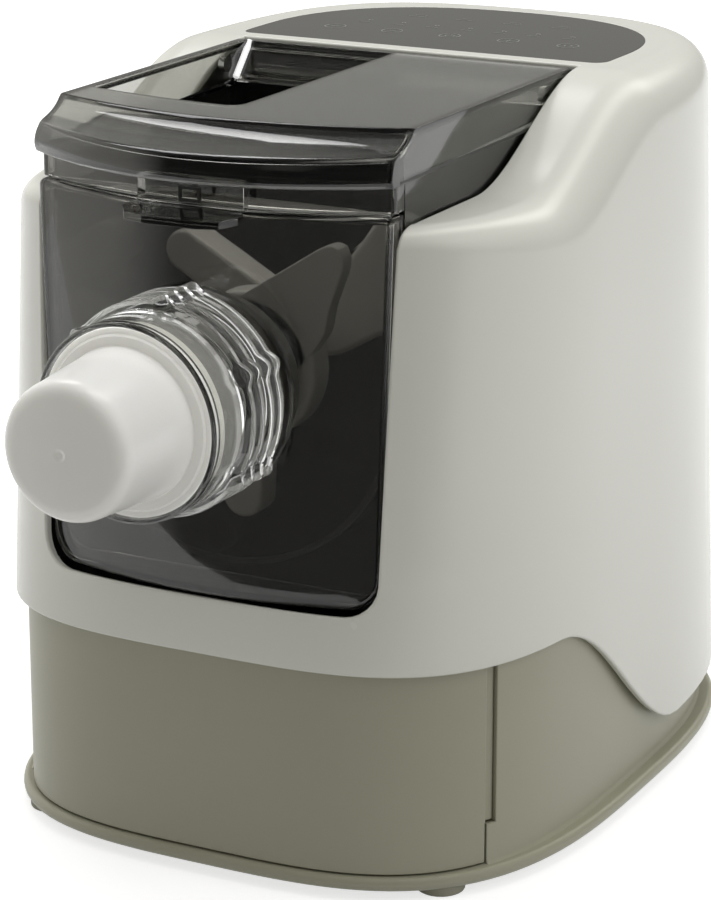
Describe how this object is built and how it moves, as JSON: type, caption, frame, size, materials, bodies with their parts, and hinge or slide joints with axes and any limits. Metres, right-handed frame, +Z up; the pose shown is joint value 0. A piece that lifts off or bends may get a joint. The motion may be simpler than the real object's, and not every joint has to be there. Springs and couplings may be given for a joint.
{
  "type": "electric pasta maker",
  "caption": "Countertop pasta maker: white housing on a grey base with drawer, smoked mixing chamber with hinged lid, clamped outlet and geared paddle drive.",
  "frame": {"origin": "centre of the base's plan on the surface that the feet stand on", "axes": "+Z up; -Y to the front, where the outlet points; +X to the right of someone who looks at the back, so the front faces -Y and the part is symmetric about X = 0 outside"},
  "size_m": [0.22, 0.3631, 0.2625],
  "materials": {
    "white_housing": "satin warm white moulding",
    "stone_base": "fine satin warm grey moulding",
    "stone_drawer": "fine satin warm grey moulding",
    "smoked_lid": "clear smoked plastic, polished",
    "smoked_panel": "dark smoked plastic, polished",
    "dark_tub": "dark smoked plastic, polished",
    "grip_plastic": "dark polished plastic",
    "black_plastic": "black plastic, fine grain",
    "dark_liner": "dark grey moulding",
    "touch_glass": "dark polished cover",
    "clear_nut": "clear plastic, polished",
    "milky_cap": "milky translucent plastic",
    "die_plastic": "natural engineering plastic",
    "paddle_plastic": "pale grey engineering plastic",
    "gear_plastic": "natural gear plastic",
    "tray_plastic": "plain light moulding",
    "deck_sheet": "zinc plated sheet",
    "case_alloy": "die-cast",
    "bright_steel": "ground steel",
    "screw_steel": "zinc plated",
    "motor_steel": "drawn steel can",
    "winding_copper": "varnished copper wire",
    "pinion_brass": "cut brass",
    "seal_rubber": "silicone",
    "gasket_rubber": "pale silicone",
    "foot_rubber": "soft black rubber",
    "board_green": "solder mask",
    "magnet_metal": "nickel plated"
  },
  "bodies": {
    "housing": {"base_tray": "stone_base", "feet": "foot_rubber", "drawer_rails": "tray_plastic", "chassis_deck": "deck_sheet", "deck_screws": "screw_steel", "housing_shell": "white_housing", "bay_liner": "dark_liner", "rear_bulkhead": "deck_sheet", "mixing_tub": "dark_tub", "shaft_seal": "seal_rubber", "touch_panel": "touch_glass", "control_board": "board_green", "board_screws": "screw_steel", "power_board": "board_green", "cord_gland": "black_plastic", "gearbox_case": "case_alloy", "gearbox_cover": "case_alloy", "gearbox_screws": "screw_steel", "shaft_bearings": "bright_steel", "motor_can": "motor_steel", "motor_stator": "winding_copper", "motor_cradle": "black_plastic", "lid_pins": "bright_steel", "reed_sensor": "black_plastic"},
    "lid": {"lid": "smoked_lid", "lid_magnet": "magnet_metal"},
    "front_panel": {"front_panel": "smoked_panel", "panel_grip": "grip_plastic", "panel_catch": "black_plastic", "panel_gasket": "gasket_rubber", "extrusion_tube": "paddle_plastic", "shaping_disc": "die_plastic"},
    "clamp_nut": {"clamp_nut": "clear_nut"},
    "outlet_cap": {"outlet_cap": "milky_cap"},
    "drawer": {"drawer_front": "stone_drawer", "drawer_tray": "tray_plastic", "drawer_screws": "screw_steel"},
    "main_drive": {"output_shaft": "bright_steel", "output_gear": "gear_plastic", "mixing_paddle": "paddle_plastic", "extrusion_auger": "paddle_plastic"},
    "idler": {"idler_shaft": "bright_steel", "idler_gears": "gear_plastic"},
    "motor_rotor": {"motor_shaft": "bright_steel", "motor_pinion": "pinion_brass", "cooling_fan": "black_plastic"}
  },
  "joints": [
    {"name": "lid_hinge", "type": "hinge", "parent": "housing", "child": "lid", "pos_m": [0, 0.016, 0.256], "axis": [-1, 0, 0], "range_deg": [0, 75]},
    {"name": "panel_slide", "type": "slide", "parent": "housing", "child": "front_panel", "axis": [0, -1, 0], "range_m": [0, 0.06]},
    {"name": "nut_turn", "type": "hinge", "parent": "front_panel", "child": "clamp_nut", "pos_m": [0, -0.15, 0.1735], "axis": [0, -1, 0], "range_deg": [0, 45]},
    {"name": "cap_pull", "type": "slide", "parent": "clamp_nut", "child": "outlet_cap", "axis": [0, -1, 0], "range_m": [0, 0.04]},
    {"name": "drawer_slide", "type": "slide", "parent": "housing", "child": "drawer", "axis": [0, -1, 0], "range_m": [0, 0.09]},
    {"name": "drive_turn", "type": "hinge", "parent": "housing", "child": "main_drive", "pos_m": [0, 0, 0.1735], "axis": [0, 1, 0], "continuous": true},
    {"name": "idler_turn", "type": "hinge", "parent": "housing", "child": "idler", "pos_m": [0.02889, 0, 0.13147], "axis": [0, 1, 0], "continuous": true},
    {"name": "motor_turn", "type": "hinge", "parent": "housing", "child": "motor_rotor", "pos_m": [0, 0, 0.11], "axis": [0, 1, 0], "continuous": true}
  ],
  "couplings": [
    {"joint": "idler_turn", "follows": "drive_turn", "ratio": -3.8571},
    {"joint": "motor_turn", "follows": "drive_turn", "ratio": 15.98}
  ]
}
